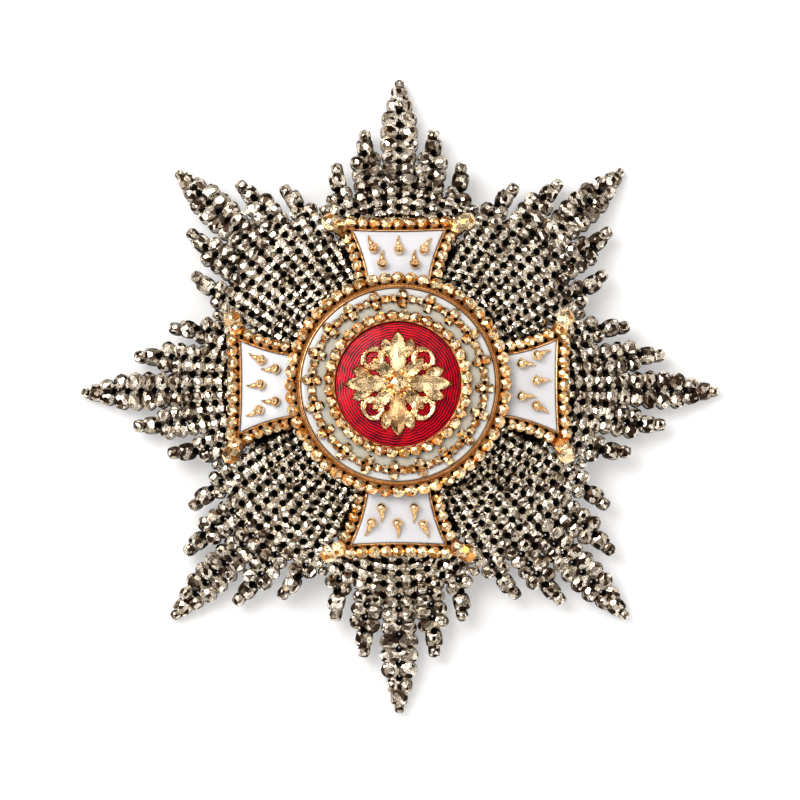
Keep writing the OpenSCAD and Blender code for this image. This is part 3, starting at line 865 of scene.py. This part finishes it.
# Grey near the edge is painted shadow of the gold wall
white_enamel.give("Base Color", white_enamel.blend(
    white_enamel.step(shore + 0.12*clouds, 0.0, 0.4), (0.30, 0.29, 0.30, 1),
    white_enamel.blend(clouds, (0.70, 0.705, 0.74, 1), (0.78, 0.785, 0.82, 1))))
white_enamel.bumps(white_enamel.grain(2.5, 2), 0.03, 0.3)

FALL_W = 0.45
FALL_DEPTH = 0.13
MESH_STEP = 0.62
MESH_EDGE = 0.75


def edge_distance(x, y, loop):
    """How far a point lies from an outline."""
    nearest = math.inf
    for (x0, y0), (x1, y1) in zip(loop, loop[1:] + loop[:1]):
        ex, ey = x1 - x0, y1 - y0
        t = max(0, min(1, ((x - x0)*ex + (y - y0)*ey)/(ex*ex + ey*ey or 1)))
        nearest = min(nearest, math.hypot(x0 + ex*t - x, y0 + ey*t - y))
    return nearest


def skin(x, y):
    """A point of the enamel's face, which falls off to its edge."""
    fall = max(0, 1 - edge_distance(x, y, outline)/FALL_W)
    return x, y, -FALL_DEPTH*fall*fall, 1 - fall


outline = arm_outline(0)
shelf = [point for off in (-0.1, -0.25, -0.5) for point in arm_outline(off)]
field = [(x*MESH_STEP, y*MESH_STEP) for x in range(-11, 12) for y in range(20, 36)]
field = [(x, y) for x, y in field
         if inside(x, y, [outline]) and edge_distance(x, y, outline) > MESH_EDGE]
polygons = [[skin(x, y) for x, y in face] for face in flat_faces([outline], shelf + field)]
polygons += [[(x, y, -ENAMEL_T, 0) for x, y in face[::-1]] for face in flat_faces([outline])]
polygons += loop_walls(outline, -FALL_DEPTH, -ENAMEL_T, 0)
for number, side in enumerate(SIDES):
    work = Work()
    work.solid(polygons, domed(ENAMEL_R, 90*number))
    work.piece("white_arm_" + side, white_enamel, ["enamel_" + side], 40)

# Flames. Five little gold flames lie on each arm: a round head, a knop and a wavy tail, chased
# in the gold and pinned through the enamel.

FLAME_L = 2.7
FLAME_R = 0.72
# Place of each flame out from the bead ring and across, as shares, and its lean in degrees
FLAMES = ((0.56, -0.55, -18), (0.54, 0, 3), (0.54, 0.55, 34), (0.207, -0.37, 10), (0.207, 0.34, 6))
# The right arm's flames sit off its middle
RIGHT_SHIFT = 0.7
# Share of a flame's length where its head is thickest, and that its tail sways
FLAME_HEAD = 0.25
FLAME_SWAY = 0.035
# Radius along a flame, as shares of its length and of its head
FLAME_RADII = ((0, 0.35), (0.05, 0.62), (0.1, 0.82), (0.17, 0.95), (0.25, 1), (0.32, 0.93),
               (0.4, 0.76), (0.45, 0.52), (0.48, 0.46), (0.52, 0.56), (0.56, 0.56), (0.6, 0.42),
               (0.68, 0.4), (0.78, 0.3), (0.9, 0.2), (1, 0.1))

chased_gold = make_gold("chased_gold", (1.0, 0.74, 0.42, 1), (0.42, 0.15, 0.03, 1))

for number, side in enumerate(SIDES):
    work = Work()
    for out, across, lean in FLAMES:
        x = across*OUT_HALF - (RIGHT_SHIFT if side == "right" else 0)
        y = RING_R + out*(ENAMEL_OUT - RING_R)
        way = math.radians(lean)
        path, radii = [], []
        for t, share in FLAME_RADII:
            sway = FLAME_L*FLAME_SWAY*math.sin(2*math.pi*t)
            run = FLAME_L*(t - FLAME_HEAD)
            path.append((x + run*math.sin(way) + sway*math.cos(way),
                         y + run*math.cos(way) - sway*math.sin(way), share*FLAME_R))
            radii.append(share*FLAME_R)
        rod(work, path, radii, domed(ENAMEL_R + 0.1, 90*number), 14, tint=chance.uniform(0.55, 1))
    work.piece("chased_flames_" + side, chased_gold, ["flames_" + side], 40)

# Medallion. A gold floor with a drilled ledge, a milled rim and a ring of cut beads, seated on
# the cross.

MEDALLION_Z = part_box("bead_ring")[0][2]/MM
FLOOR_T = 0.6
FLOOR_Z = MEDALLION_Z + FLOOR_T
SEAT_Z = FLOOR_Z + SEAT_GAP
WHITE_T = 0.45
RING_Z = FLOOR_Z + WHITE_T
WHITE_R = ARM_IN
SHELF_R = RING_R - RING_BEAD_D/2
SHELF_H = 0.8
SHELF_W = 0.3
LEDGE_T = 0.44
LAP = 0.02
RING_BEADS = 52
RING_PIT_R = 14.12
RING_PIT_BOTTOM = -0.4
RING_BEAD_ROOT = 0.38
MILL_R = 13.52
MILLS = 220
ROUND = 208
COARSE_ROUND = 160


def level_place(base):
    """Places flat work on the level base."""
    return lambda x, y, height: (x, y, base + height)


def turned(work, profile, sides, place):
    """A ring turned from a closed profile of (radius, height, polish) corners, which
    runs anticlockwise with the radius to the right."""
    polygons = []
    for k in range(sides):
        ways = [2*math.pi*(k + n)/sides for n in (0, 1)]
        for a, b in zip(profile, profile[1:] + profile[:1]):
            if a[0] > 0 or b[0] > 0:
                polygons.append([
                    (p[0]*math.cos(way), p[0]*math.sin(way), p[1], p[2])
                    for p, way in ((a, ways[0]), (a, ways[1]), (b, ways[1]), (b, ways[0]))])
    work.solid(polygons, place)


work = Work()
turned(work, [(0, 0, 0), (SHELF_R, 0, 0), (SHELF_R, SHELF_H, 0.1), (SHELF_R - SHELF_W, SHELF_H, 0.1),
              (SHELF_R - SHELF_W, FLOOR_T, 0), (0, FLOOR_T, 0)], COARSE_ROUND,
       level_place(MEDALLION_Z))
ledge = level_place(RING_Z)
pits = [ringed(*around(RING_PIT_R, 2*math.pi*(k + 0.5)/RING_BEADS), PIT_R, PIT_SIDES)
        for k in range(RING_BEADS)]
pierced_plate(work, ringed(0, 0, SHELF_R + LAP, ROUND), ringed(0, 0, WHITE_R + LAP, ROUND), pits,
              0, -LEDGE_T, RING_PIT_BOTTOM, ledge)
mill = [(x, y, 0) for x, y in ringed(0, 0, MILL_R, 2*MILLS)]
rod(work, mill, [0.2 + 0.035*(k % 2) for k in range(2*MILLS)], ledge, 8, True, polish=0.2)
turned(work, [(WHITE_R, 0.0, 0.2), (WHITE_R, -LEDGE_T, 0), (WHITE_R + 0.22, -LEDGE_T, 0),
              (WHITE_R + 0.22, 0.0, 0.1), (WHITE_R + 0.18, 0.12, 0.3), (WHITE_R + 0.08, 0.15, 0.3),
              (WHITE_R, 0.1, 0.1)], ROUND, ledge)
for k in range(RING_BEADS):
    way = 2*math.pi*k/RING_BEADS
    cut_bead(work, *around(RING_R - RING_BEAD_D*0.46, way), RING_BEAD_D*0.54, RING_BEAD_D*0.46,
             BEAD_H, RING_BEAD_ROOT, way, ledge)
work.piece("cut_bead_ring", gilt, ["bead_ring"], 9)

# White ring. Off-white enamel between the rim and the inner beads, cool outside the collar and
# yellowed inside it, and darker in the corners next to the gold.

BEZEL_R = 10.1
BEZEL_BEAD_D = 1.5
INNER_R = BEZEL_R - BEZEL_BEAD_D/2
ring_in = INNER_R + SEAT_GAP
ring_out = WHITE_R - SEAT_GAP
WHITE_TO = 12.3
YELLOW_FROM = 10.9
ring_enamel = Finish("ring_enamel", GLAZE)
clouds = ring_enamel.grain(4, 4)
inward = ring_enamel.step(ring_enamel.from_axis(), WHITE_TO*MM, YELLOW_FROM*MM)
shore = ring_enamel.mark("polish")
ring_enamel.give("Base Color", ring_enamel.blend(
    ring_enamel.step(shore + 0.3*clouds, 0.1, 0.75), (0.24, 0.20, 0.13, 1),
    ring_enamel.blend(inward, (0.70, 0.70, 0.68, 1), (0.60, 0.56, 0.46, 1))))
ring_enamel.bumps(ring_enamel.grain(1.5, 2), 0.02, 0.3)
work = Work()
turned(work, [(ring_in, 0, 0), (ring_out, 0, 0), (ring_out, WHITE_T - 0.1, 0),
              (ring_out - 0.15, WHITE_T - 0.03, 0.5), (ring_out - 0.4, WHITE_T, 1),
              (WHITE_TO, WHITE_T, 1), (11.6, WHITE_T, 1), (11, WHITE_T, 1), (10.6, WHITE_T, 0.8),
              (ring_in + 0.2, WHITE_T, 0.2), (ring_in, WHITE_T, 0)], ROUND, level_place(SEAT_Z))
work.piece("fired_white_ring", ring_enamel, ["white_ring"], 30)

# Collar. A gold collar of joined units lies on the white ring: each has two large cut beads one
# outside the other, two small ones at its sides, and pits drilled between them.

COLLAR_R = 11.7
UNITS = 20
UNIT_RUN = 0.65
UNIT_BEAD_R = 0.70
UNIT_BEAD_H = 0.88
UNIT_SIDE_R = 0.62
UNIT_SIDE_H = 0.78
UNIT_SIDE_TURN = math.radians(6.1)
# Two pits at the sides of a unit's middle and one outside it
SIDE_PIT_RUN = 0.56
SIDE_PIT_R = 0.24
MIDDLE_PIT_RUN = 0.36
MIDDLE_PIT_R = 0.18
BAND_HALF = 0.42
BAND_T = 0.3
# Height of the black lids that close the pits, painted shade standing for the pits' depth
LID_TOP = 0.34
LID_BOTTOM = 0.2
# Where a collar bead starts in the band, and where its painted shade gives way to polish
UNIT_ROOT = 0.1
UNIT_FLOOR = 0.13
PIT_SEARCH = 1.1
SEAT_RISE = 0.1
place = level_place(SEAT_Z + WHITE_T + SEAT_RISE)
work = Work()
pits = []
beads = []
for k in range(UNITS):
    middle = 2*math.pi*(k + 0.15)/UNITS
    for side in (-1, 1):
        pits.append((*around(COLLAR_R, middle + side*SIDE_PIT_RUN/COLLAR_R), SIDE_PIT_R))
        beads.append((*around(COLLAR_R + side*UNIT_RUN, middle), UNIT_BEAD_R, UNIT_BEAD_H, middle))
        way = middle + side*UNIT_SIDE_TURN
        beads.append((*around(COLLAR_R, way), UNIT_SIDE_R, UNIT_SIDE_H, way))
    pits.append((*around(COLLAR_R + MIDDLE_PIT_RUN, middle), MIDDLE_PIT_R))
pierced_plate(work, ringed(0, 0, COLLAR_R + BAND_HALF, COARSE_ROUND),
              ringed(0, 0, COLLAR_R - BAND_HALF, COARSE_ROUND), [], BAND_T, 0, 0, place)
for x, y, r, height, way in beads:
    outline = ringed(x, y, r, 12)
    for pit in pits:
        if math.hypot(pit[0] - x, pit[1] - y) < PIT_SEARCH:
            outline = drilled(outline, pit)
    planes = facets(x, y, lambda angle: r, height, 4, BEAD_WANDER, math.pi/4 - way)
    cut_solid(work, outline, planes, UNIT_ROOT, UNIT_FLOOR, place, chance.uniform(*BEAD_TINTS))
# Black lids close the pits as painted shade
for x, y, r in pits:
    shade_lid = ringed(x, y, r*1.05, PIT_SIDES)
    work.solid([[(px, py, LID_TOP, 0) for px, py in shade_lid],
                [(px, py, LID_BOTTOM, 0) for px, py in shade_lid[::-1]]]
               + loop_walls(shade_lid, LID_TOP, LID_BOTTOM, 0), place, 0.0)
work.piece("cut_collar", gilt, ["chain_collar"], 9)

# Inner ring. A gold bezel holds the red disc and carries a ring of cut beads, soldered on side
# by side.

DISC_R = 8.45
BEZEL_BEADS = 36
BEZEL_BEAD_H = 0.76
top_z = WHITE_T + SEAT_RISE
work = Work()
# The band inside the beads is painted dark brown as their shadow
turned(work, [(DISC_R + SEAT_GAP, 0, 0), (INNER_R, 0, 0), (INNER_R, top_z, 0),
              (INNER_R + 0.45, top_z, 0.0), (INNER_R + 0.45, top_z + WHITE_T, 0.0),
              (INNER_R - 0.3, top_z + WHITE_T, 0.05), (DISC_R + 0.2, top_z + WHITE_T, 0.3),
              (DISC_R + SEAT_GAP, top_z + WHITE_T - 0.06, 0.05)], COARSE_ROUND, level_place(SEAT_Z))
for k in range(BEZEL_BEADS):
    way = 2*math.pi*(k + 0.5)/BEZEL_BEADS
    cut_bead(work, *around(INNER_R, way), BEZEL_BEAD_D*0.54, BEZEL_BEAD_D*0.5, BEZEL_BEAD_H,
             -0.02, way, level_place(SEAT_Z + top_z + WHITE_T - 0.04))
work.piece("cut_inner_ring", gilt, ["inner_bead_ring"], 9)

# Red disc. Translucent red enamel over engine-turned gold: fine wavy rings show dark through
# the glassy red.

DISC_T = 0.5
DISC_RISE = 0.6
DISC_STEPS = 14
DISC_DOME_R = (DISC_R**2 + DISC_RISE**2)/(2*DISC_RISE)
red_enamel = Finish("red_enamel", {
    "Roughness": 0.3, "Specular IOR Level": 0.08, "Coat Weight": 0.08, "Coat Roughness": 0.05})
# The engine turning: so many waves in a circle, their depth, and the pitch of the circles
WAVES = 24
WAVE_DEPTH = 0.05
WAVE_PITCH = 0.36
east = red_enamel.node("SeparateXYZ", {}, {0: red_enamel.place}, "X")
north = red_enamel.node("SeparateXYZ", {}, {0: red_enamel.place}, "Y")
bearing = red_enamel.node("Math", {"operation": "ARCTAN2"}, {0: north, 1: east})
ripple = (bearing*WAVES).sine()
wave = ((red_enamel.from_axis()*(1/MM) + ripple*WAVE_DEPTH)*(2*math.pi/WAVE_PITCH)).sine()
clouds = red_enamel.grain(1.6, 4)
lines = red_enamel.step(wave*0.4 + clouds*1.5, 0.4, 1.15)
red_enamel.give("Base Color", red_enamel.blend(
    lines, (0.03, 0.0005, 0.012, 1), (0.74, 0.003, 0.010, 1)))
red_enamel.give("Metallic", 0.25*lines)
red_enamel.bumps(lines, 0.02, 0.3)
work = Work()
profile = [(0, 0, 0), (DISC_R, 0, 0)]
for k in range(DISC_STEPS + 1):
    r = DISC_R*(1 - k/DISC_STEPS)
    profile.append((r, DISC_T + DISC_RISE - DISC_DOME_R + math.sqrt(DISC_DOME_R**2 - r*r), 1))
turned(work, profile, COARSE_ROUND, level_place(SEAT_Z))
work.piece("glassy_red_disc", red_enamel, ["red_disc"], 30)

# Rosette. A chased gold ornament of pointed leaves, scrolls and a cut boss lies on the red disc
# and is pinned through it.

ROSETTE_R = 7.6
BOSS_R = 1.4
LEAF_ROWS = 16
LEAF_COLUMNS = 8
VEIN_DEPTH = 0.09
SCROLL_STEPS = 36
SCROLL_H = 0.27
WIRE_R = 0.31
PEARLS = 8
PEARL_R = 0.42
PEARL_RING_R = 1.75


def on_disc(turn=0):
    """Places flat work a hair above the red disc's dome, turned by that many degrees clockwise."""
    spun = turning(turn)
    base = SEAT_Z + DISC_T + DISC_RISE - DISC_DOME_R + 0.1
    return lambda x, y, height: (
        *spun(x, y), base + math.sqrt(DISC_DOME_R**2 - x*x - y*y) + height)


def leaf(work, r0, r1, width, height, place):
    """A leaf from the radius r0 to r1, with a sharp midrib and chased veins."""
    grid = []
    for i in range(LEAF_ROWS + 1):
        t = i/LEAF_ROWS
        half = width/2*math.sin(math.pi*min(1, t*0.92 + 0.06))**0.8
        row = []
        for k in range(LEAF_COLUMNS + 1):
            v = 2*k/LEAF_COLUMNS - 1
            vein = (0.5 + 0.5*math.cos(math.pi*(i + abs(v)*3)))*(v != 0)
            crown = (1 - 0.72*abs(v)**1.3)*(0.55 + 0.45*math.sin(math.pi*min(1, t + 0.1)))
            # The veins and the leaf's edge are painted dark as shade
            polish = 1 - 0.85*vein if abs(v) < 0.95 else 0
            row.append((v*half, r0 + (r1 - r0)*(t - 0.04*abs(v)), height*crown - VEIN_DEPTH*vein,
                        polish))
        grid.append(row)
    polygons = []
    for low, high in zip(grid, grid[1:]):
        for k in range(LEAF_COLUMNS):
            quad = [low[k], low[k + 1], high[k + 1], high[k]]
            polygons.append(quad)
            polygons.append([(x, y, 0, 0) for x, y, _, _ in quad[::-1]])
    rim = [row[-1] for row in grid] + grid[-1][-2::-1]
    rim += [row[0] for row in grid[-2::-1]] + grid[0][1:-1]
    for a, b in zip(rim, rim[1:] + rim[:1]):
        polygons.append([b, a, (a[0], a[1], 0, 0), (b[0], b[1], 0, 0)])
    work.solid(polygons, place, chance.uniform(0.5, 1))


work = Work()
for k in range(8):
    if k % 2 == 0:
        leaf(work, BOSS_R*0.7, ROSETTE_R, ROSETTE_R*0.34, 0.85, on_disc(45*k))
        for m in (-17, 17):
            leaf(work, ROSETTE_R*0.5, ROSETTE_R*0.88, ROSETTE_R*0.22, 0.62, on_disc(45*k + m))
    else:
        leaf(work, BOSS_R*0.7, ROSETTE_R*0.68, ROSETTE_R*0.26, 0.7, on_disc(45*k))
for k in range(4):
    for m in (-1, 1):
        path, radii = [], []
        for j in range(SCROLL_STEPS + 1):
            t = 6*j/SCROLL_STEPS
            angle = math.radians(-70 + 400*t/7)
            r = 2*ROSETTE_R*(0.11 - 0.009*t)
            path.append((2*ROSETTE_R*0.3 + r*math.cos(angle), m*r*math.sin(angle), SCROLL_H))
            radii.append(WIRE_R*(1 - 0.03*t)*(1 + 0.1*math.sin(j*2.1)))
        rod(work, path, radii, on_disc(90*k + 45), 10, tint=chance.uniform(0.5, 1))
cut_bead(work, 0, 0, BOSS_R, BOSS_R, 1.15, -0.01, 0, on_disc(), 24, 7)
for k in range(PEARLS):
    way = 2*math.pi*(k + 0.5)/PEARLS
    cut_bead(work, *around(PEARL_RING_R, way), PEARL_R, PEARL_R, BEAD_H, -0.01, way, on_disc(), 10)
work.piece("chased_rosette", chased_gold, ["rosette"], 28)

# The table top, the light and the camera. The star lies on a plain white top. A soft tent
# lights it, with a large soft light up to the left, and the camera looks down from the front.

TOP_HALF = 2000
TOP_DROP = 0.02
floor_mesh = bpy.data.meshes.new("white_top")
floor_mesh.from_pydata([(x*TOP_HALF*MM, y*TOP_HALF*MM, -TOP_DROP*MM)
                        for x, y in ((-1, -1), (1, -1), (1, 1), (-1, 1))], [], [(0, 1, 2, 3)])
table_top = added("white_top", floor_mesh)
top_finish = Finish("white_top", {
    "Base Color": (0.72, 0.72, 0.72, 1), "Roughness": 0.8, "Specular IOR Level": 0.0,
    "Emission Color": (1, 1, 1, 1), "Emission Strength": 0.34})
floor_mesh.materials.append(top_finish.made)

tent = Finish("studio", {"Strength": 2.4}, bpy.data.worlds, "Background")
bpy.context.scene.world = tent.made
cloth = tent.node("TexNoise", {}, {
    "Vector": tent.node("TexCoord", {}, {}, "Generated"), "Scale": 4.5, "Detail": 1})
tent.give("Color", tent.node("ValToRGB", {"stops": (
    (0.44, (0.01, 0.006, 0.003, 1)), (0.52, (0.15, 0.12, 0.09, 1)), (0.61, (1, 1, 1, 1)))},
    {"Fac": cloth}))

camera_data = bpy.data.cameras.new("camera")
camera_data.sensor_width = 36
camera_data.lens = 129.03
camera_data.clip_start = 10*MM
camera = added("camera", camera_data)
bpy.context.scene.camera = camera
# Tilts from straight above, towards the bottom ray and to the right, and the distance
TILT = math.tan(math.radians(7.33))
SWING = math.tan(math.radians(1.12))
AWAY = 392.3
aim = Vector((0, 0, 5*MM))
view = Vector((SWING, -TILT, 1)).normalized()
camera.location = aim + view*AWAY*MM
look_at = aim + Vector((0.164*MM, -1.56*MM, 0))
backward = (camera.location - look_at).normalized()
rightward = Vector((0, 1, 0)).cross(backward).normalized()
axes = Matrix((rightward, backward.cross(rightward), backward)).transposed()
camera.rotation_euler = axes.to_euler()

light_data = bpy.data.lights.new("key_light", "AREA")
light_data.shape = "DISK"
light_data.size = 360*MM
light_data.energy = 1.8
key_light = added("key_light", light_data)
key_light.location = (-230*MM, 180*MM, 490*MM)
key_light.rotation_euler = key_light.location.to_track_quat("Z", "Y").to_euler()

bpy.context.scene.view_settings.view_transform = "Standard"
